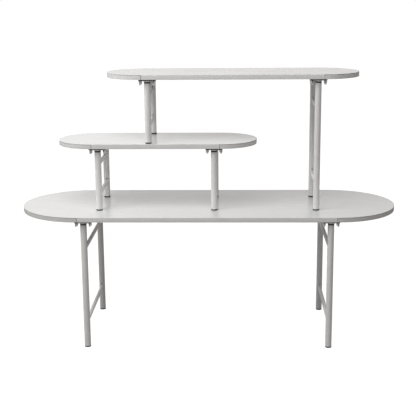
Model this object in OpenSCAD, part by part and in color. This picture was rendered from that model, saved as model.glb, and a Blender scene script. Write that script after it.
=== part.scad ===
// Tiered display table: three round-ended tables that stand on one another in steps.
// Millimetres, +Z up. The origin is on the floor, under the centre of the base table.
// X runs along the tables, -Y is the customer's side.

/* [Base table] */
// Length of the base tabletop, over its round ends
base_length = 1800; // [1600:10:2200]
// Depth of the base tabletop
base_depth = 600; // [500:10:800]
// Height of the base tabletop above the floor
base_height = 640; // [500:5:800]

/* [Middle and upper tables] */
// Depth of the two smaller tabletops
tier_depth = 350; // [300:10:450]
// Length of the middle tabletop, over its round ends
middle_length = 950; // [800:10:1050]
// Height of the middle tabletop above the base tabletop
middle_rise = 320; // [270:5:420]
// How far the middle table stands to the left of the base table's centre
middle_offset = 240; // [150:5:300]
// Length of the upper tabletop, over its round ends
upper_length = 1190; // [1050:10:1350]
// Height of the upper tabletop above the middle tabletop
upper_rise = 320; // [270:5:420]
// How far the upper table's short legs stand to the left of the middle table's centre
upper_foot_offset = 33; // [0:1:80]

/* [Tabletops] */
// Thickness of a finished tabletop
top_thickness = 22; // [18:0.5:30]
// Thickness of the laminate on each face
laminate_t = 0.8; // [0.5:0.1:1.2]
// Thickness of the edge band
band_t = 2; // [1.5:0.5:3]
// Radius on the band's outer corners
band_round = 0.5; // [0.3:0.1:1.4]
// Height of the slot under the top edge of each bent end
end_slot = 1.8; // [0.6:0.1:2.4]
// Open joint between two lengths of band
band_joint = 1.6; // [0.2:0.1:3]

/* [Leg frames] */
// Outside diameter of a leg tube
leg_d = 30; // [25:0.5:32]
// Wall of a leg tube
leg_wall = 1.5; // [1:0.1:2.5]
// From a tabletop's long edge to a leg's axis
leg_edge_inset = 32; // [30:1:60]
// From the start of a round end to a leg's axis
leg_end_inset = 27; // [10:1:60]
// Outside diameter of a crossbar
bar_d = 18; // [12:0.5:20]
// Wall of a crossbar
bar_wall = 1.2; // [0.8:0.1:2]
// From the tabletop's underside to the upper crossbar's axis, on a tall frame
tall_bar_drop = 138; // [100:1:180]
// From the floor of a tall frame to the lower crossbar's axis
tall_bar_rise = 126; // [80:1:180]
// From the tabletop's underside to the upper crossbar's axis, on a short frame
short_bar_drop = 80; // [70:1:95]
// From the floor of a short frame to the lower crossbar's axis
short_bar_rise = 78; // [50:1:95]
// Diameter of the vent hole above each end of a crossbar
vent_d = 7; // [4:0.5:8]
// Clear height between a crossbar and its vent hole
vent_gap = 5; // [2:0.5:8]

/* [Leg heads] */
// Length of a leg plate, along X
plate_length = 80; // [78:1:110]
// Width of a leg plate, along Y
plate_width = 50; // [40:1:58]
// Thickness of a leg plate
plate_t = 6; // [3:0.5:10]
// Corner radius of a leg plate
plate_corner = 8; // [2:0.5:12]
// Distance between the two wing bolts of a plate
bolt_spacing = 64; // [62:1:66]
// Diameter of the socket's collar
collar_d = 34; // [33:0.5:38]
// Height of the socket's collar
collar_h = 5; // [4:0.5:10]
// Length of the socket's spigot inside the tube
spigot_length = 40; // [20:1:45]
// Wall of the spigot
spigot_wall = 3; // [2:0.5:5]
// Height of the black bush between the collar and the tube
bush_h = 7; // [3:0.5:10]

/* [Wing bolts] */
// Thread diameter
thread_d = 8; // [6:1:8]
// Diameter of the hub where it seats on the plate
hub_d = 16; // [13:0.5:18]
// Diameter of the hub between the wings
hub_neck_d = 15; // [10:0.5:15.5]
// Height of the hub
hub_h = 17; // [10:0.5:18]
// Span over the wings
wing_span = 31; // [26:0.5:31]
// Height of the wings below the plate
wing_h = 21; // [18:0.5:28]
// Thickness of a wing
wing_t = 4; // [2:0.5:5]
// Turn of a tightened outer bolt, front wing towards the nearer end of the table
outer_wing_turn = 12; // [-90:1:90]
// Turn of a tightened inner bolt, the same way
inner_wing_turn = 14; // [-90:1:90]
// How far a tightened wing may differ from that, either way
wing_scatter = 5; // [0:1:30]

/* [Threaded inserts] */
// Outside diameter of an insert
insert_d = 12; // [10.5:0.5:14]
// Length of an insert
insert_length = 14; // [10:0.5:15]
// Length of insert that a tightened bolt leaves empty
bolt_end_gap = 1; // [0.5:0.1:3]

/* [Feet] */
// How far a rubber foot stands out round its tube
foot_lip = 0.25; // [0.05:0.05:3]
// Height of a foot below its tube
foot_h = 6; // [4:0.5:12]
// Radius on the foot's lower edge
foot_round = 1.5; // [0.5:0.1:2]
// Length of the foot's plug inside the tube
plug_length = 20; // [12:1:30]

/* [Fits] */
// Radial play of a bolt in its insert
thread_play = 0.05; // [0.02:0.01:0.1]
// Radial play of a bolt in the plate
plate_play = 0.5; // [0.2:0.1:1]
// Radial play of what is pushed or glued together
push_play = 0.05; // [0.02:0.01:0.1]
// Width of the weld gap at a crossbar's end
weld_gap = 0.1; // [0.05:0.05:0.3]

/* [Hidden] */
$fn = 72;
eps = 0.01;         // overlap of shapes that become one solid
end_chamfer = 1;    // on the end of a bolt and of a spigot
end_lip = 0.3;      // a bent end's slot starts this far below its rounded corner
end_web = 0.5;      // band left behind that slot
hub_bevel = 3.5;    // bevel round the end of a hub
wing_lobe_r = 6;    // round end of a wing
wing_root = 1.5;    // the wings start this far below the plate
scatter_step = 137; // degrees of the sine that spreads the wings
front_to_back = 90; // turn of a wing that lies along Y

LEFT = -1;
RIGHT = 1;
FRONT = -1;
REAR = 1;
OUTER = 1;
INNER = -1;

tier_reach = tier_depth / 2 + leg_end_inset;      // from a small tabletop's end to its legs
middle_x = -middle_offset;
upper_x = middle_x - upper_foot_offset + upper_length / 2 - tier_reach;
middle_z = base_height + middle_rise;
upper_z = middle_z + upper_rise;
tall_bars = [tall_bar_drop, tall_bar_rise];
short_bars = [short_bar_drop, short_bar_rise];

// A table: name, length, depth, X of its centre, height of its top face,
// floor under its left and right legs, crossbar places of its left and right frames
base = ["base", base_length, base_depth, 0, base_height, [0, 0], [tall_bars, tall_bars]];
middle = ["middle", middle_length, tier_depth, middle_x, middle_z,
          [base_height, base_height], [short_bars, short_bars]];
upper = ["upper", upper_length, tier_depth, upper_x, upper_z,
         [middle_z, base_height], [short_bars, tall_bars]];
TABLES = [base, middle, upper];

function name_of(t) = t[0];
function length_of(t) = t[1];
function end_radius(t) = t[2] / 2;
function straight_of(t) = length_of(t) - 2 * end_radius(t);
function centre_x(t) = t[3];
function top_z(t) = t[4];
function under_z(t) = top_z(t) - top_thickness;
function floor_z(t, side) = t[5][side == LEFT ? 0 : 1];
function bars_of(t, side) = t[6][side == LEFT ? 0 : 1];
function leg_x(t, side) = centre_x(t) + side * (straight_of(t) / 2 - leg_end_inset);
function leg_y(t, row) = row * (end_radius(t) - leg_edge_inset);
function bolt_x(t, side, end) = leg_x(t, side) + side * end * bolt_spacing / 2;
function bar_heights(t, side) =
    [under_z(t) - bars_of(t, side)[0], floor_z(t, side) + bars_of(t, side)[1]];

collar_under = plate_t + collar_h;           // depths below the tabletop's underside
bush_under = collar_under + bush_h;
spigot_under = bush_under + spigot_length;
spigot_d = leg_d - 2 * (leg_wall + push_play);
plug_d = spigot_d;
foot_d = leg_d + 2 * foot_lip;
core_t = top_thickness - 2 * laminate_t;
bolt_reach = plate_t + insert_length - bolt_end_gap;
lobe_x = wing_span / 2 - wing_lobe_r;
lobe_z = wing_lobe_r - wing_h;

// Names of the nodes
PIECES = ["core_board", "laminate_sheets", "edge_band", "threaded_inserts", "leg_plates",
          "leg_sockets", "leg_bushes", "feet"];
SIDES = [["left", LEFT], ["right", RIGHT]];
ROWS = [["front", FRONT], ["rear", REAR]];
ENDS = [["outer", OUTER], ["inner", INNER]];
BOLTS = [for (s = SIDES, r = ROWS, e = ENDS) [str(s[0], "_", r[0], "_", e[0]), s[1], r[1], e[1]]];
function piece_node(t, piece) = str(name_of(t), "_", piece);
function side_node(t, side, piece) = str(name_of(t), "_", side[0], "_", piece);
function bolt_node(t, bolt) = str(name_of(t), "_", bolt[0], "_wing_bolt");

// ---- Tabletops ----

// Round-ended slab, centred on Z, standing on z = 0
module slab(length, depth, height) {
    r = depth / 2;
    translate([r - length / 2, -r, 0]) cube([length - depth, depth, height]);
    for (end = [LEFT, RIGHT])
        translate([end * (length / 2 - r), 0, 0]) cylinder(r = r, h = height);
}

// The board or a sheet that lies inside the edge band
module inner_slab(t, height) {
    inset = 2 * (band_t + push_play);
    slab(length_of(t) - inset, 2 * end_radius(t) - inset, height);
}

// Something at each wing bolt's axis, on the tabletop's underside
module at_bolts(t) {
    for (side = [LEFT, RIGHT], row = [FRONT, REAR], end = [OUTER, INNER])
        translate([bolt_x(t, side, end), leg_y(t, row), under_z(t)]) children();
}

// Something at each leg's axis, on the tabletop's underside
module at_legs(t) {
    for (side = [LEFT, RIGHT], row = [FRONT, REAR])
        translate([leg_x(t, side), leg_y(t, row), under_z(t)]) children();
}

module insert_hole(length) {
    translate([0, 0, -eps]) cylinder(d = insert_d + 2 * push_play, h = length + eps);
}

module core_board(t) {
    color("burlywood") difference() {
        translate([centre_x(t), 0, under_z(t) + laminate_t]) inner_slab(t, core_t);
        at_bolts(t) insert_hole(insert_length);
    }
}

module laminate_sheets(t) {
    color([0.88, 0.88, 0.88]) {
        translate([centre_x(t), 0, top_z(t) - laminate_t]) inner_slab(t, laminate_t);
        difference() {
            translate([centre_x(t), 0, under_z(t)]) inner_slab(t, laminate_t);
            at_bolts(t) insert_hole(laminate_t + eps);
        }
    }
}

// Section of the band: x from the board outwards, y up, outer corners rounded
module band_section() {
    r = band_round;
    square([band_t - r, top_thickness]);
    translate([0, r]) square([band_t, top_thickness - 2 * r]);
    for (y = [r, top_thickness - r]) translate([band_t - r, y]) circle(r);
}

// A bent end has an open slot under its top edge, with a thin web left behind it
module end_band_section() {
    slot_z = top_thickness - band_round - end_lip - end_slot;
    difference() {
        band_section();
        translate([end_web, slot_z]) square([band_t, end_slot]);
    }
}

// Two straight lengths and two bent ends, with an open joint where they meet
module edge_band(t) {
    r = end_radius(t) - band_t;
    color([0.72, 0.72, 0.73]) translate([centre_x(t), 0, under_z(t)]) {
        for (row = [0, 1])
            mirror([0, row, 0]) translate([0, r, 0]) rotate([90, 0, 90])
                linear_extrude(straight_of(t) - 2 * band_joint, center = true) band_section();
        for (end = [LEFT, RIGHT])
            translate([end * straight_of(t) / 2, 0, 0]) rotate([0, 0, -90 * end])
                rotate_extrude(angle = 180) translate([r, 0]) end_band_section();
    }
}

module threaded_inserts(t) {
    color("goldenrod") at_bolts(t) difference() {
        cylinder(d = insert_d, h = insert_length);
        translate([0, 0, -eps])
            cylinder(d = thread_d + 2 * thread_play, h = insert_length + 2 * eps);
    }
}

// ---- Leg heads ----

module plate_outline() {
    x = plate_length - 2 * plate_corner;
    y = plate_width - 2 * plate_corner;
    square([plate_length, y], center = true);
    square([x, plate_width], center = true);
    for (i = [-1, 1], j = [-1, 1]) translate([i * x / 2, j * y / 2]) circle(plate_corner);
}

module leg_plates(t) {
    color([0.1, 0.1, 0.11]) at_legs(t) difference() {
        translate([0, 0, -plate_t]) linear_extrude(plate_t) plate_outline();
        for (end = [-1, 1]) translate([end * bolt_spacing / 2, 0, -plate_t - eps])
            cylinder(d = thread_d + 2 * plate_play, h = plate_t + 2 * eps);
    }
}

// Collar welded under the plate, with the spigot that the tube is pushed over
module leg_sockets(t) {
    r = spigot_d / 2;
    color([0.8, 0.8, 0.8]) at_legs(t) rotate_extrude() polygon([
        [r - spigot_wall, -plate_t],
        [collar_d / 2, -plate_t],
        [collar_d / 2, -collar_under],
        [r, -collar_under],
        [r, end_chamfer - spigot_under],
        [r - end_chamfer, -spigot_under],
        [r - spigot_wall, -spigot_under]]);
}

module leg_bushes(t) {
    color([0.08, 0.08, 0.08]) at_legs(t) translate([0, 0, -bush_under]) difference() {
        cylinder(d = leg_d, h = bush_h);
        translate([0, 0, -eps]) cylinder(d = spigot_d + 2 * push_play, h = bush_h + 2 * eps);
    }
}

// ---- Leg frames ----

// A vent hole on the side of a leg that faces the other leg, above each crossbar
module vent_holes(t, side, row) {
    for (z = bar_heights(t, side))
        translate([0, 0, z + bar_d / 2 + vent_gap + vent_d / 2]) rotate([row * 90, 0, 0])
            cylinder(d = vent_d, h = leg_d);
}

module legs(t, side) {
    bottom = floor_z(t, side) + foot_h;
    height = under_z(t) - bush_under - bottom;
    color([0.83, 0.83, 0.83]) for (row = [FRONT, REAR])
        translate([leg_x(t, side), leg_y(t, row), 0]) difference() {
            translate([0, 0, bottom]) cylinder(d = leg_d, h = height);
            translate([0, 0, bottom - eps])
                cylinder(d = leg_d - 2 * leg_wall, h = height + 2 * eps);
            vent_holes(t, side, row);
        }
}

// Two tubes from leg to leg, their ends cut to the round of the legs
module crossbars(t, side) {
    span = 2 * leg_y(t, REAR);
    color([0.78, 0.78, 0.78]) for (z = bar_heights(t, side))
        translate([leg_x(t, side), 0, z]) difference() {
            rotate([90, 0, 0]) cylinder(d = bar_d, h = span, center = true);
            rotate([90, 0, 0]) cylinder(d = bar_d - 2 * bar_wall, h = span + 1, center = true);
            for (row = [FRONT, REAR]) translate([0, leg_y(t, row), -bar_d])
                cylinder(d = leg_d + 2 * weld_gap, h = 2 * bar_d);
        }
}

// Rubber disc under the tube, with a plug pushed into it
module foot() {
    r = foot_d / 2;
    rotate_extrude() {
        square([r - foot_round, foot_h]);
        translate([0, foot_round]) square([r, foot_h - foot_round]);
        translate([r - foot_round, foot_round]) circle(foot_round);
        square([plug_d / 2, foot_h + plug_length]);
    }
}

module feet(t) {
    color([0.06, 0.06, 0.06]) for (side = [LEFT, RIGHT], row = [FRONT, REAR])
        translate([leg_x(t, side), leg_y(t, row), floor_z(t, side)]) foot();
}

// ---- Wing bolts ----

// One wing, x outwards from the bolt's axis, y up
module wing_outline() {
    polygon([[0, -wing_root], [hub_d / 2 - 1, -wing_root], [lobe_x + wing_lobe_r, lobe_z],
             [lobe_x - wing_lobe_r, lobe_z], [0, -hub_h - wing_root]]);
    translate([lobe_x, lobe_z]) circle(wing_lobe_r);
}

// Hub and wings hang below z = 0, where the hub seats, and the shank stands above it
module wing_bolt_shape() {
    r = thread_d / 2;
    rotate_extrude() polygon([
        [0, -hub_h], [hub_neck_d / 2 - hub_bevel, -hub_h], [hub_neck_d / 2, hub_bevel - hub_h],
        [hub_d / 2, -wing_root], [hub_d / 2, 0],
        [r, 0], [r, bolt_reach - end_chamfer], [r - end_chamfer, bolt_reach],
        [0, bolt_reach]]);
    for (half = [0, 180]) rotate([90, 0, half])
        linear_extrude(wing_t, center = true) wing_outline();
}

// The bolt's number only sets how its wings happen to have stopped
module wing_bolt(t, side, row, end, number) {
    tightened = end == OUTER ? outer_wing_turn : inner_wing_turn;
    turn = front_to_back + side * tightened + wing_scatter * sin(scatter_step * number);
    color("silver") translate([bolt_x(t, side, end), leg_y(t, row), under_z(t) - plate_t])
        rotate([0, 0, turn]) wing_bolt_shape();
}

// ---- Nodes ----

for (k = [0:len(TABLES) - 1]) {
    t = TABLES[k];
    core_board(t);
    laminate_sheets(t);
    edge_band(t);
    threaded_inserts(t);
    leg_plates(t);
    leg_sockets(t);
    leg_bushes(t);
    feet(t);
    for (s = SIDES) {
        legs(t, s[1]);
        crossbars(t, s[1]);
    }
    for (i = [0:len(BOLTS) - 1]) {
        b = BOLTS[i];
        number = k * len(BOLTS) + i;
        wing_bolt(t, b[1], b[2], b[3], number);
    }
}
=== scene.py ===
import math

import bmesh
import bpy
from mathutils import Matrix, Vector


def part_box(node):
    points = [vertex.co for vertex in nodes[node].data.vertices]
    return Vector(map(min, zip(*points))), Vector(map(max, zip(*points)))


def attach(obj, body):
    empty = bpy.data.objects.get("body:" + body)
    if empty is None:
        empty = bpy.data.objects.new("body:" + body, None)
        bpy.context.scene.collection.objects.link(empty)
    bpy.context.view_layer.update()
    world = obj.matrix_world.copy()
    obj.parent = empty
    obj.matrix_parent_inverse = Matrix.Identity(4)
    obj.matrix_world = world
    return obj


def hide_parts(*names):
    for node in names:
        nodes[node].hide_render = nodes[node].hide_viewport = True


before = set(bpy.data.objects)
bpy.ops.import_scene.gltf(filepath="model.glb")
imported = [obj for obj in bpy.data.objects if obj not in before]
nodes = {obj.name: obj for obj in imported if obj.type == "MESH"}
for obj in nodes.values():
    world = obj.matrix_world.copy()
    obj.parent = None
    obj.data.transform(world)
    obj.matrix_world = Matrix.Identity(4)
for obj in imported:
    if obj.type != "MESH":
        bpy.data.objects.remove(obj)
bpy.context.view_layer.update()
mm = 0.001
tables = ["base", "middle", "upper"]
sides = ["left", "right"]
print("frame loaded:", len(nodes), "nodes")


class Wire:  # a node's output that can be added, multiplied and so on
    def __init__(self, socket, graph):
        self.socket = socket
        self.graph = graph

    def maths(self, operation, a, b):
        return self.graph.node("ShaderNodeMath", {"operation": operation}, {0: a, 1: b})

    def __add__(self, other):
        return self.maths("ADD", self, other)

    def __radd__(self, other):
        return self.maths("ADD", other, self)

    def __sub__(self, other):
        return self.maths("SUBTRACT", self, other)

    def __rsub__(self, other):
        return self.maths("SUBTRACT", other, self)

    def __mul__(self, other):
        return self.maths("MULTIPLY", self, other)

    def __rmul__(self, other):
        return self.maths("MULTIPLY", other, self)

    def __truediv__(self, other):
        return self.maths("DIVIDE", self, other)

    def __gt__(self, other):
        return self.maths("GREATER_THAN", self, other)

    def sine(self):
        return self.maths("SINE", self, 0)

    def atLeast(self, least):
        return self.maths("MAXIMUM", self, least)

    def output(self, name):  # another output of the same node
        return Wire(self.socket.node.outputs[name], self.graph)


class Graph:
    def __init__(self, tree):
        self.tree = tree

    def node(self, kind, settings=None, inputs=None, output=0):
        made = self.tree.nodes.new(kind)
        for key, value in (settings or {}).items():
            if key == "stops":
                setStops(made.color_ramp, value)
            else:
                setattr(made, key, value)
        for key, value in (inputs or {}).items():
            for one in value if isinstance(value, list) else [value]:
                if isinstance(one, Wire):
                    self.tree.links.new(one.socket, made.inputs[key])
                else:
                    made.inputs[key].default_value = one
        return Wire(made.outputs[output], self) if made.outputs else None


def setStops(ramp, stops):
    while len(ramp.elements) < len(stops):
        ramp.elements.new(1)
    for element, (place, shade) in zip(ramp.elements, stops):
        element.position = place
        element.color = (shade, shade, shade, 1)


class Paint(Graph):  # a material and the nodes that most materials share
    def __init__(self, name):
        self.material = bpy.data.materials.new(name)
        self.material.use_nodes = True
        super().__init__(self.material.node_tree)
        self.tree.nodes.clear()
        self.place = self.node("ShaderNodeTexCoord", output="Object")

    def stretched(self, scale, place=None):
        return self.node("ShaderNodeMapping", {}, {"Vector": place or self.place, "Scale": scale})

    def noise(self, grain, detail=3.0, place=None):  # grain is the size of a blotch
        inputs = {"Vector": place or self.place, "Scale": 1 / grain, "Detail": detail}
        return self.node("ShaderNodeTexNoise", {}, inputs)

    def ramp(self, value, low, high):  # 0 below low, 1 above high
        return self.node("ShaderNodeValToRGB", {"stops": [(low, 0), (high, 1)]}, {"Fac": value})

    def blend(self, share, colourA, colourB):
        inputs = {0: share, 6: colourA, 7: colourB}
        return self.node("ShaderNodeMix", {"data_type": "RGBA"}, inputs, 2)

    def bump(self, height, depth, under=None):
        inputs = {"Height": height, "Distance": depth, "Strength": 1.0}
        if under:
            inputs["Normal"] = under
        return self.node("ShaderNodeBump", {}, inputs)

    def finish(self, inputs):
        shader = self.node("ShaderNodeBsdfPrincipled", {}, inputs)
        self.node("ShaderNodeOutputMaterial", {}, {"Surface": shader})
        return self.material


def grey(shade, warmth=0.0):
    return (shade * (1 + warmth), shade, shade * (1 - warmth), 1)


laminate = {"shade": 0.80, "cloudShade": 0.785, "roughness": 0.20, "cloud": 60 * mm, "pore": 0.5 * mm,
            "upperShadeShare": 0.81}


def makeLaminate(name, share=1.0):  # the share paints shade into one table's sheet, making it a little darker
    p = Paint(name)
    cloud = p.noise(laminate["cloud"], 4)
    pores = p.noise(laminate["pore"], 2)
    smear = p.noise(30 * mm, 2, p.stretched((0.25, 1, 1)))
    hairline = p.ramp(p.noise(1.2 * mm, 2, p.stretched((0.02, 1, 1))), 0.68, 0.72)
    base = p.blend(p.ramp(cloud, 0.35, 0.7), grey(share * laminate["shade"]),
                   grey(share * laminate["cloudShade"], 0.002))
    return p.finish({
        "Base Color": p.blend(hairline * 0.08, base, grey(0.6)),
        "Roughness": laminate["roughness"] + 0.07 * p.ramp(smear, 0.4, 0.7) + 0.10 * hairline,
        "Normal": p.bump(pores, 0.006 * mm),
    })


band = {"shade": 0.785, "darkShade": 0.75, "roughness": 0.42, "joint": 1.6 * mm, "round": 0.5 * mm,
        "thickness": 2.0 * mm, "lip": 0.8 * mm, "slot": 1.8 * mm, "slotDepth": 1.5 * mm, "slotShadeAndDirt": 0.85,
        "tableShare": {"base": 1.08, "middle": 1.02, "upper": 1.05},
        "bentShadeShare": {"base": 0.87, "middle": 1.0, "upper": 1.0}, "straightStep": 40 * mm, "bentPoints": 121}


def makeBand(table):
    p = Paint(f"{table}GreyEdgeBand")
    along = p.node("ShaderNodeAttribute", {"attribute_name": "along"}, output="Fac")
    height = p.node("ShaderNodeSeparateXYZ", {}, {0: p.place}, "Z")
    run = p.node("ShaderNodeCombineXYZ", {}, {"X": along * 0.03, "Y": height})
    grain = p.noise(0.7 * mm, 3, run)
    cloud = p.noise(90 * mm, 3)
    # each table's band shade is scaled: painted light, one lighter copy of the same band per table
    share = band["tableShare"][table]
    base = p.blend(p.ramp(cloud, 0.3, 0.7), grey(share * band["shade"]),
                   grey(share * band["darkShade"], 0.004))
    # the base table's bent ends are painted darker: painted shade where the ends face away from the light
    bent = p.node("ShaderNodeAttribute", {"attribute_name": "bent"}, output="Fac")
    base = p.blend(bent * (1 - band["bentShadeShare"][table]), base, grey(0.0))
    # the back of the slot is painted dark brown: painted shade in the recess, and dirt
    inSlot = p.node("ShaderNodeAttribute", {"attribute_name": "inSlot"}, output="Fac")
    base = p.blend(inSlot * band["slotShadeAndDirt"], base, grey(0.08, 0.35))
    return p.finish({
        "Base Color": p.blend(0.12 * p.ramp(grain, 0.45, 0.7), base, grey(0.56, 0.01)),
        "Roughness": band["roughness"] + 0.12 * grain,
        "Normal": p.bump(grain, 0.03 * mm, p.bump(p.noise(0.25 * mm, 2), 0.01 * mm)),
    })


tubePaint = {"shade": 0.85, "cloudShade": 0.81, "roughness": 0.42, "peel": 1.1 * mm, "scuffHeight": 60 * mm}


def makeTubePaint():
    p = Paint("offWhiteTubePaint")
    peel = p.noise(tubePaint["peel"], 2)
    cloud = p.noise(45 * mm, 3)
    height = p.node("ShaderNodeSeparateXYZ", {}, {0: p.place}, "Z")
    low = p.node("ShaderNodeMapRange", {}, {"Value": height, "From Max": tubePaint["scuffHeight"],
                                           "To Min": 1.0, "To Max": 0.25})
    scuff = p.ramp(p.noise(5 * mm, 5, p.stretched((1, 1, 0.35))), 0.66, 0.70) * low
    base = p.blend(p.ramp(cloud, 0.35, 0.7), grey(tubePaint["shade"]), grey(tubePaint["cloudShade"], 0.006))
    return p.finish({
        "Base Color": p.blend(scuff * 0.35, base, grey(0.33, 0.03)),
        "Roughness": tubePaint["roughness"] + 0.08 * cloud + 0.25 * scuff,
        "Normal": p.bump(peel, 0.02 * mm),
    })


blackPaint = {"shade": 0.022, "dustShade": 0.045, "roughness": 0.46, "grit": 0.45 * mm, "dust": 18 * mm}


def makeBlackPaint():
    p = Paint("blackPowderCoat")
    grit = p.noise(blackPaint["grit"], 3)
    dust = p.ramp(p.noise(blackPaint["dust"], 4), 0.5, 0.75)
    return p.finish({
        "Base Color": p.blend(0.5 * dust, grey(blackPaint["shade"]), grey(blackPaint["dustShade"], 0.02)),
        "Roughness": blackPaint["roughness"] + 0.18 * grit,
        "Normal": p.bump(grit, 0.05 * mm),
    })


nylon = {"shade": 0.009, "paleShade": 0.016, "roughness": 0.55, "grain": 0.3 * mm, "cloud": 6 * mm}


def makeNylon():
    p = Paint("blackNylon")
    grain = p.noise(nylon["grain"], 2)
    return p.finish({
        "Base Color": p.blend(p.noise(nylon["cloud"]), grey(nylon["shade"]), grey(nylon["paleShade"])),
        "Roughness": nylon["roughness"] + 0.16 * grain,
        "Specular IOR Level": 0.25,
        "Normal": p.bump(grain, 0.012 * mm),
    })


rubber = {"shade": 0.016, "dustShade": 0.06, "roughness": 0.66, "grain": 0.5 * mm, "dust": 4 * mm}


def makeRubber():
    p = Paint("footRubber")
    grain = p.noise(rubber["grain"], 4)
    dust = p.ramp(p.noise(rubber["dust"], 5), 0.48, 0.72)
    return p.finish({
        "Base Color": p.blend(0.6 * dust, grey(rubber["shade"]), grey(rubber["dustShade"], 0.04)),
        "Roughness": rubber["roughness"] + 0.22 * dust,
        "Normal": p.bump(grain, 0.05 * mm),
    })


castZinc = {"shade": 0.86, "darkShade": 0.72, "tarnishShade": 0.55, "roughness": 0.42,
            "spangle": 1.6 * mm, "skin": 0.6 * mm, "tarnish": 7 * mm}


def makeZinc():
    p = Paint("zincPlating")
    spangle = p.node("ShaderNodeTexVoronoi", {}, {
        "Vector": p.place, "Scale": 1 / castZinc["spangle"]}, "Color")
    flake = p.node("ShaderNodeSeparateColor", {}, {0: spangle})
    castSkin = p.noise(castZinc["skin"], 4)
    tarnish = p.ramp(p.noise(castZinc["tarnish"], 4), 0.45, 0.7)
    base = p.blend(0.3 * flake, grey(castZinc["shade"], -0.01), grey(castZinc["darkShade"], -0.015))
    return p.finish({
        "Base Color": p.blend(0.4 * tarnish, base, grey(castZinc["tarnishShade"], 0.02)),
        "Metallic": 1.0,
        "Roughness": castZinc["roughness"] + 0.14 * castSkin + 0.12 * tarnish,
        "Normal": p.bump(castSkin, 0.06 * mm),
    })


brightZinc = {"shade": 0.86, "darkShade": 0.74, "roughness": 0.22, "streak": 1.0 * mm, "cloud": 9 * mm,
              "toolMark": 0.5 * mm}


def makeBrightZinc():
    p = Paint("brightZincPlating")
    streak = p.noise(brightZinc["streak"], 3, p.stretched((1, 1, 0.15)))
    cloud = p.ramp(p.noise(brightZinc["cloud"], 3), 0.4, 0.7)
    toolMark = p.noise(brightZinc["toolMark"], 3, p.stretched((0.1, 0.1, 1)))
    return p.finish({
        "Base Color": p.blend(cloud, grey(brightZinc["shade"], -0.005), grey(brightZinc["darkShade"], -0.01)),
        "Metallic": 1.0,
        "Roughness": brightZinc["roughness"] + 0.10 * toolMark + 0.06 * streak,
        "Normal": p.bump(toolMark, 0.02 * mm),
    })


brass = {"colour": (0.72, 0.50, 0.19, 1), "darkColour": (0.56, 0.37, 0.13, 1), "roughness": 0.24,
         "cloud": 3 * mm, "toolMark": 0.35 * mm}


def makeBrass():
    p = Paint("turnedBrass")
    height = p.node("ShaderNodeSeparateXYZ", {}, {0: p.place}, "Z")
    toolMark = p.noise(brass["toolMark"], 2, p.node("ShaderNodeCombineXYZ", {}, {"Z": height}))
    return p.finish({
        "Base Color": p.blend(p.noise(brass["cloud"]), brass["colour"], brass["darkColour"]),
        "Metallic": 1.0,
        "Roughness": brass["roughness"] + 0.2 * toolMark,
        "Normal": p.bump(toolMark, 0.03 * mm),
    })


board = {"colour": (0.50, 0.35, 0.20, 1), "darkColour": (0.26, 0.16, 0.08, 1), "edgeShadeAndGlue": 0.03,
         "roughness": 0.8, "chip": 2.6 * mm}


def makeBoard():
    p = Paint("particleBoard")
    chips = p.node("ShaderNodeTexVoronoi", {}, {
        "Vector": p.stretched((0.5, 1, 1.6)), "Scale": 1 / board["chip"]}, "Color")
    tint = p.node("ShaderNodeSeparateColor", {}, {0: chips})
    wood = p.blend(tint, board["colour"], board["darkColour"])
    upright = p.node("ShaderNodeSeparateXYZ", {}, {0: p.node("ShaderNodeNewGeometry", output="Normal")}, "Z")
    side = 1 - (upright * upright > 0.25)  # the board's edges are painted almost black: painted shade in the narrow band joints, and glue
    return p.finish({
        "Base Color": p.blend(side, wood, grey(board["edgeShadeAndGlue"], 0.03)),
        "Roughness": board["roughness"] + 0.1 * tint,
        "Normal": p.bump(tint, 0.2 * mm),
    })


laminateMaterial = makeLaminate("whiteLaminate")
# the upper table's sheet is painted darker: painted shade, a shaded copy of the same laminate
upperLaminateMaterial = makeLaminate("greyWhiteLaminate", laminate["upperShadeShare"])
bandMaterials = {table: makeBand(table) for table in tables}
tubeMaterial = makeTubePaint()
collarMaterial = makeBrightZinc()
blackMaterial = makeBlackPaint()
nylonMaterial = makeNylon()
rubberMaterial = makeRubber()
zincMaterial = makeZinc()
brassMaterial = makeBrass()
boardMaterial = makeBoard()

nodeMaterials = {
    "core_board": boardMaterial, "laminate_sheets": laminateMaterial,
    "upper_laminate_sheets": upperLaminateMaterial, "edge_band": bandMaterials["base"],
    "threaded_inserts": brassMaterial, "leg_plates": blackMaterial, "leg_sockets": collarMaterial,
    "leg_bushes": nylonMaterial, "feet": rubberMaterial, "legs": tubeMaterial,
    "crossbars": tubeMaterial, "wing_bolt": zincMaterial,
}
for name, node in nodes.items():
    for ending, material in nodeMaterials.items():  # the last ending that fits is kept
        if name.endswith(ending):
            node.data.materials.clear()
            node.data.materials.append(material)
print("materials made")


# Places and sizes are read from the frame, to the nearest half millimetre
def rounded(corner):
    return Vector(round(value / (0.5 * mm)) * 0.5 * mm for value in corner)


def boxOf(node):
    low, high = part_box(node)
    return rounded(low), rounded(high)


def nodeHeight(node):
    low, high = boxOf(node)
    return high.z - low.z


def legSpots(table, level):  # the four leg axes of a table, at the height level(side)
    spots = []
    for side in sides:
        low, high = boxOf(f"{table}_{side}_legs")
        radius = (high.x - low.x) / 2
        for y in (low.y + radius, high.y - radius):
            spots.append(Vector(((low.x + high.x) / 2, y, level(side))))
    return spots


def underside(table):
    return boxOf(f"{table}_edge_band")[0].z


def newObject(name, mesh, material=None):
    made = bpy.data.objects.new(name, mesh)
    bpy.context.scene.collection.objects.link(made)
    if material:
        mesh.materials.clear()
        mesh.materials.append(material)
    return made


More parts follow.
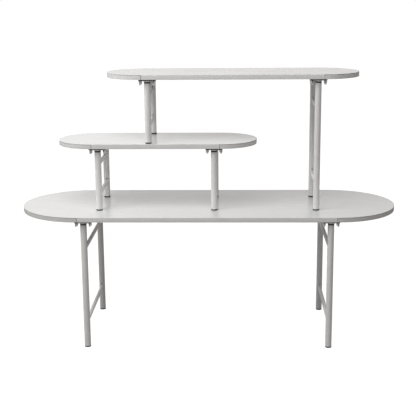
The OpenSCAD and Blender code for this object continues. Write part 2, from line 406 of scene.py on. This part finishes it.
def smoothAcross(mesh, limit=35):  # smooth faces, sharp edges where the fold is over the limit
    work = bmesh.new()
    work.from_mesh(mesh)
    bmesh.ops.recalc_face_normals(work, faces=work.faces)
    for face in work.faces:
        face.smooth = True
    for edge in work.edges:
        edge.smooth = edge.calc_face_angle(0) < math.radians(limit)
    work.to_mesh(mesh)
    work.free()


def settle(made):  # its modifiers become its mesh
    bpy.context.view_layer.update()
    graph = bpy.context.evaluated_depsgraph_get()
    mesh = bpy.data.meshes.new_from_object(made.evaluated_get(graph))
    name = made.name
    bpy.data.objects.remove(made)
    return newObject(name, mesh)


def arcPoints(centre, radius, start, sweep, count=6):
    steps = [math.radians(start + sweep * i / count) for i in range(count + 1)]
    return [(centre[0] + radius * math.cos(a), centre[1] + radius * math.sin(a)) for a in steps]


def turned(name, outline, segments=48):  # outline of (radius, height), turned about Z, closed or to the axis
    work = bmesh.new()
    rings = []
    for radius, height in outline:
        if radius < 1e-6:
            rings.append([work.verts.new((0, 0, height))])
            continue
        angles = [2 * math.pi * i / segments for i in range(segments)]
        rings.append([work.verts.new((radius * math.cos(a), radius * math.sin(a), height)) for a in angles])
    pairs = list(zip(rings, rings[1:]))
    if len(rings[0]) > 1 and len(rings[-1]) > 1:
        pairs.append((rings[-1], rings[0]))
    for lower, upper in pairs:
        for i in range(segments):
            j = (i + 1) % segments
            corners = [lower[i % len(lower)], lower[j % len(lower)],
                       upper[j % len(upper)], upper[i % len(upper)]]
            work.faces.new(list(dict.fromkeys(corners)))
    bmesh.ops.recalc_face_normals(work, faces=work.faces)
    mesh = bpy.data.meshes.new(name)
    work.to_mesh(mesh)
    work.free()
    smoothAcross(mesh)
    return newObject(name, mesh)


def slab(name, outline, low, high):  # outline of (x, y), from height low to high
    work = bmesh.new()
    bottom = [work.verts.new((x, y, low)) for x, y in outline]
    face = work.faces.new(bottom)
    grown = bmesh.ops.extrude_face_region(work, geom=[face])
    lifted = [v for v in grown["geom"] if isinstance(v, bmesh.types.BMVert)]
    bmesh.ops.translate(work, verts=lifted, vec=(0, 0, high - low))
    bmesh.ops.recalc_face_normals(work, faces=work.faces)
    mesh = bpy.data.meshes.new(name)
    work.to_mesh(mesh)
    work.free()
    return newObject(name, mesh)


def dress(made, body, replaced):
    for node in replaced:
        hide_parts(node)
    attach(made, body)


class Grower(Graph):  # a geometry node tree with named inputs
    def __init__(self, name, inputs):
        group = bpy.data.node_groups.new(name, "GeometryNodeTree")
        super().__init__(group)
        kinds = {"Piece": "Object", "StraightSection": "Object", "EndSection": "Object",
                 "Material": "Material", "Geometry": "Geometry"}
        for label in inputs:
            kind = kinds.get(label, "Float")
            group.interface.new_socket(label, in_out="INPUT", socket_type=f"NodeSocket{kind}")
        group.interface.new_socket("Geometry", in_out="OUTPUT", socket_type="NodeSocketGeometry")
        self.inlet = group.nodes.new("NodeGroupInput")

    def size(self, name):
        return Wire(self.inlet.outputs[name], self)

    def point(self, x=0.0, y=0.0, z=0.0):
        return self.node("ShaderNodeCombineXYZ", {}, {"X": x, "Y": y, "Z": z})

    def end(self, geometry):
        whole = self.node("GeometryNodeRealizeInstances", {}, {0: geometry})
        painted = self.node("GeometryNodeSetMaterial", {}, {
            "Geometry": whole, "Material": self.size("Material")})
        self.node("NodeGroupOutput", {}, {0: painted})


def grow(name, grower, values, start=None):
    made = start or newObject(name, bpy.data.meshes.new(name))
    made.name = name
    modifier = made.modifiers.new("grow", "NODES")
    modifier.node_group = grower.tree
    for item in grower.tree.interface.items_tree:
        if item.in_out == "INPUT" and item.name in values:
            modifier[item.identifier] = values[item.name]
    made = settle(made)
    smoothAcross(made.data)
    return made


# Edge bands: two straight lengths and two bent ends round each tabletop
def bandSection(name, height, slotted):  # x outwards from the board, y down from the top
    t, r = band["thickness"], band["round"]
    back = t - band["slotDepth"]
    outline = [(0, 0)] + arcPoints((t - r, r), r, -90, 90)
    if slotted:  # the bent ends have an open slot under their lip
        under = band["lip"] + band["slot"]
        outline += [(t, band["lip"]), (back, band["lip"]), (back, under), (t, under)]
    outline += arcPoints((t - r, height - r), r, 0, 90) + [(0, height)]
    count = len(outline)
    mesh = bpy.data.meshes.new(name)
    ring = [(i, (i + 1) % count) for i in range(count)]
    mesh.from_pydata([(x, y, 0) for x, y in outline], ring, [])
    marks = {"bent": [float(slotted)] * count, "inSlot": [float(slotted and x == back) for x, y in outline]}
    for mark, values in marks.items():
        mesh.attributes.new(mark, "FLOAT", "POINT").data.foreach_set("value", values)
    return newObject(name, mesh)


def alongPath(g, curve, section):
    curve = g.node("GeometryNodeSetCurveNormal", {"mode": "Z_UP"}, {"Curve": curve})
    run = g.node("GeometryNodeSplineParameter", output="Length")
    curve = g.node("GeometryNodeStoreNamedAttribute", {}, {"Geometry": curve, "Name": "along", "Value": run})
    outline = g.node("GeometryNodeObjectInfo", {}, {"Object": g.size(section)}, "Geometry")
    outline = g.node("GeometryNodeMeshToCurve", {}, {0: outline})
    return g.node("GeometryNodeCurveToMesh", {}, {
        "Curve": curve, "Profile Curve": outline, "Fill Caps": True})


def makeBandGrower():
    g = Grower("edgeBandGrower", ["Length", "Depth", "CentreX", "Top", "Thickness", "Joint",
                                  "StraightSection", "EndSection", "Material"])
    inner = g.size("Depth") / 2 - g.size("Thickness")
    half = (g.size("Length") - g.size("Depth")) / 2
    start = g.point(g.size("Joint") - half, 0 - inner)
    end = g.point(half - g.size("Joint"), 0 - inner)
    straight = g.node("GeometryNodeCurvePrimitiveLine", {}, {"Start": start, "End": end})
    straight = g.node("GeometryNodeResampleCurve", {"mode": "LENGTH"}, {
        "Curve": straight, "Length": band["straightStep"]})
    arc = g.node("GeometryNodeCurveArc", {"mode": "RADIUS"}, {
        "Resolution": band["bentPoints"], "Radius": inner, "Start Angle": -math.pi / 2,
        "Sweep Angle": math.pi})
    bent = g.node("GeometryNodeTransform", {}, {"Geometry": arc, "Translation": g.point(half)})
    strips = [alongPath(g, straight, "StraightSection"), alongPath(g, bent, "EndSection")]
    pair = g.node("GeometryNodeJoinGeometry", {}, {0: strips})
    other = g.node("GeometryNodeTransform", {}, {"Geometry": pair, "Rotation": (0, 0, math.pi)})
    both = g.node("GeometryNodeJoinGeometry", {}, {0: [pair, other]})
    placed = g.node("GeometryNodeTransform", {}, {
        "Geometry": both, "Translation": g.point(g.size("CentreX"), 0, g.size("Top"))})
    g.end(placed)
    return g


bandGrower = makeBandGrower()
bandHeight = nodeHeight("base_edge_band")
sections = [bandSection("straightSection", bandHeight, False), bandSection("endSection", bandHeight, True)]
for table in tables:
    low, high = boxOf(f"{table}_edge_band")
    made = grow(f"{table}EdgeBands", bandGrower, {
        "Length": high.x - low.x, "Depth": high.y - low.y, "CentreX": (low.x + high.x) / 2, "Top": high.z,
        "Thickness": band["thickness"], "Joint": band["joint"], "StraightSection": sections[0],
        "EndSection": sections[1], "Material": bandMaterials[table]})
    dress(made, f"{table}_table", [f"{table}_edge_band"])
for section in sections:
    bpy.data.objects.remove(section)
print("edge bands made")


# Leg heads and feet: one of each kind, repeated at the legs
def makeRepeater():
    g = Grower("repeatAtLegs", ["Geometry", "Piece", "Material"])
    piece = g.node("GeometryNodeObjectInfo", {}, {"Object": g.size("Piece")}, "Geometry")
    spread = g.node("GeometryNodeInstanceOnPoints", {}, {"Points": g.size("Geometry"), "Instance": piece})
    g.end(spread)
    return g


repeater = makeRepeater()


def atLegs(piece, name, table, level, material, replaced):
    mesh = bpy.data.meshes.new(name)
    mesh.from_pydata(legSpots(table, level), [], [])
    made = grow(name, repeater, {"Piece": piece, "Material": material}, newObject(name, mesh))
    dress(made, f"{table}_table", [replaced])


plate = {"length": 80 * mm, "width": 50 * mm, "corner": 8 * mm, "bevel": 0.8 * mm, "hole": 4.5 * mm,
         "boltSpacing": 64 * mm}


def makePlate(thickness):
    x = plate["length"] / 2 - plate["corner"]
    y = plate["width"] / 2 - plate["corner"]
    outline = []
    for sx, sy, start in ((1, 1, 0), (-1, 1, 90), (-1, -1, 180), (1, -1, 270)):
        outline += arcPoints((sx * x, sy * y), plate["corner"], start, 90, 10)
    made = slab("plateMaster", outline, -thickness, 0)
    bevel = made.modifiers.new("bevel", "BEVEL")
    bevel.width = plate["bevel"]
    bevel.segments = 3
    bevel.limit_method = "ANGLE"
    bevel.angle_limit = math.radians(60)
    drills = []
    for end in (-1, 1):
        hole = turned("drill", [(0, -2 * thickness), (plate["hole"], -2 * thickness),
                                (plate["hole"], thickness), (0, thickness)], 32)
        hole.data.transform(Matrix.Translation((end * plate["boltSpacing"] / 2, 0, 0)))
        cut = made.modifiers.new("drill", "BOOLEAN")
        cut.object = hole
        drills.append(hole)
    made = settle(made)
    for hole in drills:
        bpy.data.objects.remove(hole)
    smoothAcross(made.data)
    return made


collar = {"radius": 17 * mm, "height": 5 * mm, "edge": 0.8 * mm, "spigot": 13.45 * mm, "wall": 3 * mm,
          "chamfer": 1 * mm}


def makeCollar(length):
    r, bevel = collar["spigot"], collar["chamfer"]
    bore = r - collar["wall"]
    outline = [(bore, 0), (collar["radius"], 0)]
    outline += arcPoints((collar["radius"] - collar["edge"], collar["edge"] - collar["height"]),
                         collar["edge"], 0, -90)
    outline += [(r, -collar["height"]), (r, bevel - length), (r - bevel, -length), (bore, -length)]
    return turned("collarMaster", outline)


bush = {"radius": 15 * mm, "bore": 13.5 * mm, "edge": 0.6 * mm, "groove": 0.4 * mm}


def makeBush(height):
    r, e, dip = bush["radius"], bush["edge"], bush["groove"]
    outline = [(bush["bore"], -height)]
    outline += arcPoints((r - e, e - height), e, -90, 90)
    outline += [(r, -height / 2 - dip), (r - dip, -height / 2), (r, dip - height / 2)]
    outline += arcPoints((r - e, -e), e, 0, 90)
    outline += [(bush["bore"], 0)]
    return turned("bushMaster", outline)


foot = {"radius": 15.25 * mm, "height": 6 * mm, "edge": 1.5 * mm, "lip": 0.5 * mm, "plug": 13.45 * mm,
        "groove": 0.5 * mm, "treadInner": 8 * mm, "treadOuter": 10 * mm, "treadDepth": 0.8 * mm,
        "chamfer": 1 * mm}


def makeFoot(length):
    r, h, e, lip = foot["radius"], foot["height"], foot["edge"], foot["lip"]
    outline = [(0, 0), (foot["treadInner"], 0), (foot["treadInner"], foot["treadDepth"]),
               (foot["treadOuter"], foot["treadDepth"]), (foot["treadOuter"], 0)]
    outline += arcPoints((r - e, e), e, -90, 90)
    outline += [(r, h / 2), (r - foot["groove"], h / 2 + foot["groove"]), (r, h / 2 + 2 * foot["groove"])]
    outline += arcPoints((r - lip, h - lip), lip, 0, 90)
    plug, bevel = foot["plug"], foot["chamfer"]
    outline += [(plug, h), (plug, length - bevel), (plug - bevel, length), (0, length)]
    return turned("footMaster", outline)


plateThickness = nodeHeight("base_leg_plates")
plateMaster = makePlate(plateThickness)
collarMaster = makeCollar(nodeHeight("base_leg_sockets"))
bushMaster = makeBush(nodeHeight("base_leg_bushes"))
footMaster = makeFoot(nodeHeight("base_feet"))
for table in tables:
    top = underside(table)
    collarTop = boxOf(f"{table}_leg_plates")[0].z
    bushTop = boxOf(f"{table}_leg_bushes")[1].z
    atLegs(plateMaster, f"{table}LegPlates", table, lambda side: top, blackMaterial,
           f"{table}_leg_plates")
    atLegs(collarMaster, f"{table}Collars", table, lambda side: collarTop, collarMaterial,
           f"{table}_leg_sockets")
    atLegs(bushMaster, f"{table}Bushes", table, lambda side: bushTop, nylonMaterial,
           f"{table}_leg_bushes")
    atLegs(footMaster, f"{table}Feet", table,
           lambda side: boxOf(f"{table}_{side}_legs")[0].z - foot["height"], rubberMaterial,
           f"{table}_feet")
for master in (plateMaster, collarMaster, bushMaster, footMaster):
    bpy.data.objects.remove(master)
print("leg heads and feet made")


# Weld beads: round each crossbar's end and under each plate
weld = {"bead": 1.5 * mm, "collarBead": 1.0 * mm, "ripple": 2.2 * mm, "rippleDepth": 0.14,
        "legRadius": 15 * mm, "barRadius": 9 * mm, "saddlePoints": 40}


def makeWelder():
    g = Grower("weldBeads", ["Geometry", "Bead", "Ripple", "Material"])
    path = g.node("GeometryNodeMeshToCurve", {}, {0: g.size("Geometry")})
    path = g.node("GeometryNodeResampleCurve", {"mode": "LENGTH"}, {
        "Curve": path, "Length": g.size("Ripple") / 4})
    run = g.node("GeometryNodeSplineParameter", output="Length")
    swell = 1 + weld["rippleDepth"] * (run * (2 * math.pi) / g.size("Ripple")).sine()
    ring = g.node("GeometryNodeCurvePrimitiveCircle", {}, {"Resolution": 10, "Radius": g.size("Bead")})
    bead = g.node("GeometryNodeCurveToMesh", {}, {"Curve": path, "Profile Curve": ring, "Scale": swell})
    g.end(bead)
    return g


def saddle(x, z, legY):  # where a crossbar at height z runs into the inner side of the leg at legY
    points = []
    for i in range(weld["saddlePoints"]):
        a = 2 * math.pi * i / weld["saddlePoints"]
        dx = weld["barRadius"] * math.cos(a)
        inward = math.sqrt(weld["legRadius"] ** 2 - dx ** 2)
        points.append((x + dx, legY - math.copysign(inward, legY), z + weld["barRadius"] * math.sin(a)))
    return points


def circle(centre, radius, count=48):
    steps = [2 * math.pi * i / count for i in range(count)]
    return [(centre.x + radius * math.cos(a), centre.y + radius * math.sin(a), centre.z) for a in steps]


def barLoops(table):
    loops = []
    for side in sides:
        low, high = boxOf(f"{table}_{side}_crossbars")
        legY = boxOf(f"{table}_{side}_legs")[1].y - weld["legRadius"]
        for z in (low.z + weld["barRadius"], high.z - weld["barRadius"]):
            loops += [saddle((low.x + high.x) / 2, z, legY), saddle((low.x + high.x) / 2, z, -legY)]
    return loops


def collarLoops(table):
    level = boxOf(f"{table}_leg_plates")[0].z - weld["collarBead"] / 3
    spots = legSpots(table, lambda side: level)
    return [circle(spot, collar["radius"] + weld["collarBead"] / 3) for spot in spots]


welder = makeWelder()


def makeBeads(name, table, loops, bead, material):
    verts, edges = [], []
    for loop in loops:
        first = len(verts)
        verts += loop
        edges += [(first + i, first + (i + 1) % len(loop)) for i in range(len(loop))]
    mesh = bpy.data.meshes.new(name)
    mesh.from_pydata(verts, edges, [])
    values = {"Bead": bead, "Ripple": weld["ripple"], "Material": material}
    dress(grow(name, welder, values, newObject(name, mesh)), f"{table}_table", [])


for table in tables:
    makeBeads(f"{table}BarWelds", table, barLoops(table), weld["bead"], tubeMaterial)
    makeBeads(f"{table}CollarWelds", table, collarLoops(table), weld["collarBead"], collarMaterial)
print("weld beads made")


# Wing bolts: a cast hub with two wings, a turned seat and a threaded shank
wingBolt = {"shank": 4 * mm, "tip": 1 * mm, "hub": 8 * mm, "neck": 7.5 * mm, "hubHeight": 17 * mm,
            "hubRound": 4 * mm, "span": 31 * mm, "drop": 21 * mm, "wing": 4 * mm, "lobe": 6 * mm,
            "root": 1.5 * mm, "rootDepth": 1.2 * mm, "flare": 1.6 * mm, "flareDrop": 5 * mm,
            "seat": 1.4 * mm, "seatEdge": 0.5 * mm, "pitch": 1.25 * mm, "threadDepth": 0.6 * mm,
            "outerTurn": 12, "innerTurn": 14, "scatter": 5, "scatterStep": 137,
            "voxel": 0.4 * mm, "relax": 7, "keep": 0.3}


def makeThreader():
    g = Grower("boltThread", ["Radius", "Pitch", "Length", "Depth", "Material"])
    turns = g.size("Length") / g.size("Pitch")
    helix = g.node("GeometryNodeCurveSpiral", {}, {
        "Resolution": 20, "Rotations": turns, "Start Radius": g.size("Radius"),
        "End Radius": g.size("Radius"), "Height": g.size("Length")})
    ridge = g.node("GeometryNodeCurvePrimitiveCircle", {}, {"Resolution": 3, "Radius": g.size("Depth")})
    thread = g.node("GeometryNodeCurveToMesh", {}, {
        "Curve": helix, "Profile Curve": ridge, "Fill Caps": True})
    g.end(thread)
    return g


def wingOutline():
    r, span, drop = wingBolt["lobe"], wingBolt["span"] / 2, wingBolt["drop"]
    lobe = (span - r, r - drop)
    hub = wingBolt["hub"]
    right = [(hub - wingBolt["rootDepth"], -wingBolt["root"]),
             (hub + wingBolt["flare"], -wingBolt["flareDrop"])]
    right += arcPoints(lobe, r, 12, -150, 14)
    right += [(2 * mm, 1 * mm - wingBolt["hubHeight"])]
    mirrored = [(-x, y) for x, y in reversed(right)]
    return right + mirrored


def joined(name, parts):  # parts become one mesh
    work = bmesh.new()
    for part in parts:
        work.from_mesh(part.data)
        bpy.data.objects.remove(part)
    mesh = bpy.data.meshes.new(name)
    work.to_mesh(mesh)
    work.free()
    return newObject(name, mesh)


def makeWingBolt(reach):
    neck, hub, high = wingBolt["neck"], wingBolt["hub"], wingBolt["hubHeight"]
    bend = wingBolt["hubRound"]
    knob = [(0, -high)] + arcPoints((neck - bend, bend - high), bend, -90, 90)
    knob += [(hub - 0.3 * mm, -wingBolt["root"]), (hub - 0.3 * mm, -0.2 * mm), (0, -0.2 * mm)]
    wings = slab("wings", wingOutline(), -wingBolt["wing"] / 2, wingBolt["wing"] / 2)
    wings.data.transform(Matrix.Rotation(math.pi / 2, 4, "X"))
    cast = joined("cast", [turned("knob", knob, 40), wings])
    remesh = cast.modifiers.new("remesh", "REMESH")
    remesh.mode = "VOXEL"
    remesh.voxel_size = wingBolt["voxel"]
    relax = cast.modifiers.new("relax", "SMOOTH")
    relax.iterations = wingBolt["relax"]
    thin = cast.modifiers.new("thin", "DECIMATE")
    thin.ratio = wingBolt["keep"]
    cast = settle(cast)
    smoothAcross(cast.data, 70)
    edge, deep = wingBolt["seatEdge"], wingBolt["seat"]
    rim = arcPoints((hub - edge, edge - deep), edge, 0, -90, 4)
    seat = turned("seat", [(0, 0), (hub, 0)] + rim + [(0, -deep)], 40)
    core, tip = wingBolt["shank"] - wingBolt["threadDepth"] / 2, wingBolt["tip"]
    shank = turned("shank", [(0, 0), (core, 0), (core, reach - tip), (core - tip, reach), (0, reach)], 24)
    thread = grow("thread", makeThreader(), {
        "Radius": wingBolt["shank"] - wingBolt["threadDepth"], "Pitch": wingBolt["pitch"],
        "Length": reach - 2 * tip, "Depth": wingBolt["threadDepth"], "Material": zincMaterial})
    return joined("wingBoltMaster", [cast, seat, shank, thread])


seatHeight = boxOf("base_leg_plates")[0].z
wingBoltMaster = makeWingBolt(boxOf("base_left_front_outer_wing_bolt")[1].z - seatHeight)
boltPlaces = [f"{side}_{row}_{end}" for side in sides for row in ("front", "rear")
              for end in ("outer", "inner")]
number = 0
for table in tables:
    seatHeight = boxOf(f"{table}_leg_plates")[0].z
    for place in boltPlaces:
        node = f"{table}_{place}_wing_bolt"
        low, high = boxOf(node)
        turn = wingBolt["outerTurn"] if place.endswith("outer") else wingBolt["innerTurn"]
        turn = 90 + (turn if place.startswith("right") else -turn)
        turn += wingBolt["scatter"] * math.sin(math.radians(wingBolt["scatterStep"] * number))
        mesh = wingBoltMaster.data.copy()
        mesh.transform(Matrix.Translation(((low.x + high.x) / 2, (low.y + high.y) / 2, seatHeight))
                       @ Matrix.Rotation(math.radians(turn), 4, "Z"))
        dress(newObject(f"{node}_cast", mesh, zincMaterial), node, [node])
        number += 1
bpy.data.objects.remove(wingBoltMaster)
print("wing bolts made")


# The stage shows white to the camera and lights the object plainly
stage = {"floorSize": 60.0, "floorGap": 0.5 * mm, "floorShade": 0.25, "floorWarmth": 0.05, "haze": 0.8,
         "glow": 0.96, "horizon": 0.45, "horizonFade": 1.55, "left": 0.37, "behind": 0.18,
         "rightWarmth": 0.03, "glossyShare": 0.25}


def seenShare(graph):  # 1 for the camera and for panes, less where something glossy mirrors the stage
    path = graph.node("ShaderNodeLightPath", output="Is Camera Ray")
    return path + path.output("Is Transmission Ray") + stage["glossyShare"] * path.output("Is Glossy Ray")


def makeFloor():
    p = Paint("floorPaint")
    haze = p.noise(stage["haze"], 2)
    shade = stage["floorShade"]
    base = p.node("ShaderNodeBsdfDiffuse", {}, {
        "Color": p.blend(haze, grey(shade, stage["floorWarmth"]), grey(shade * 0.94, stage["floorWarmth"]))})
    glow = p.node("ShaderNodeEmission", {}, {"Color": grey(1.0), "Strength": seenShare(p) * stage["glow"]})
    both = p.node("ShaderNodeAddShader", {}, {0: base, 1: glow})
    p.node("ShaderNodeOutputMaterial", {}, {"Surface": both})
    half = stage["floorSize"] / 2
    mesh = bpy.data.meshes.new("floor")
    corners = [(-half, -half, 0), (half, -half, 0), (half, half, 0), (-half, half, 0)]
    mesh.from_pydata(corners, [], [(0, 1, 2, 3)])
    made = newObject("floor", mesh, p.material)
    made.location.z = -stage["floorGap"]


def makeWorld():
    world = bpy.data.worlds.new("studio")
    bpy.context.scene.world = world
    world.use_nodes = True
    g = Graph(world.node_tree)
    g.tree.nodes.clear()
    way = g.node("ShaderNodeTexCoord", output="Generated")
    along = g.node("ShaderNodeSeparateXYZ", {}, {0: way}, "X")
    toRight = 0.5 + 0.5 * along
    toBack = 0.5 + 0.5 * along.output("Y")
    low = (1 - stage["horizonFade"] * along.output("Z")).atLeast(0)
    room = stage["horizon"] * low + stage["left"] * (1 - toRight) + stage["behind"] * toBack
    seen = seenShare(g)
    tint = g.node("ShaderNodeMix", {"data_type": "RGBA"}, {
        0: toRight * (1 - seen), 6: grey(1.0), 7: grey(1.0, stage["rightWarmth"])}, 2)
    shade = room * (1 - g.node("ShaderNodeLightPath", output="Is Camera Ray")) + seen
    back = g.node("ShaderNodeBackground", {}, {"Color": tint, "Strength": shade})
    g.node("ShaderNodeOutputWorld", {}, {"Surface": back})


lamps = {
    "frontTopSoftbox": {"place": (-0.7, -1.8, 4.35), "size": 2.25, "power": 43.5},
    "leftTopSoftbox": {"place": (-1.7, -1.1, 2.6), "size": 1.2, "power": 20},
    "rightTopSoftbox": {"place": (0.425, -2.7, 3.9), "size": 1.95, "power": 13},
    "sideSoftbox": {"place": (-3.8, 0.0, 3.5), "size": 3.3, "power": 17},
}
lampTarget = Vector((-0.1, 0, 0.9))


def makeLamps():
    for name, lamp in lamps.items():
        light = bpy.data.lights.new(name, "AREA")
        light.shape = "DISK"
        light.size = lamp["size"]
        light.energy = lamp["power"]
        made = bpy.data.objects.new(name, light)
        made.location = lamp["place"]
        made.rotation_euler = (Vector(lamp["place"]) - lampTarget).to_track_quat("Z", "Y").to_euler()
        made.visible_camera = False
        bpy.context.scene.collection.objects.link(made)


camera = {"place": (0.13254, -4.56007, 1.70580), "yaw": -1.684, "pitch": 13.447, "roll": -0.423,
          "focal": 958.66, "pictureWidth": 416}


def makeCamera():
    yaw, pitch, roll = (math.radians(camera[k]) for k in ("yaw", "pitch", "roll"))
    ahead = Vector((math.sin(yaw) * math.cos(pitch), math.cos(yaw) * math.cos(pitch), -math.sin(pitch)))
    right = Vector((math.cos(yaw), -math.sin(yaw), 0))
    up = right.cross(ahead)
    across = math.cos(roll) * right + math.sin(roll) * up
    upward = math.cos(roll) * up - math.sin(roll) * right
    data = bpy.data.cameras.new("camera")
    data.angle = 2 * math.atan(camera["pictureWidth"] / 2 / camera["focal"])
    made = bpy.data.objects.new("camera", data)
    turn = Matrix((across, upward, -ahead)).transposed().to_4x4()
    made.matrix_world = Matrix.Translation(camera["place"]) @ turn
    bpy.context.scene.collection.objects.link(made)
    bpy.context.scene.camera = made


makeFloor()
makeWorld()
makeLamps()
makeCamera()
bpy.context.scene.view_settings.view_transform = "Standard"
print("stage, lamps and camera made")
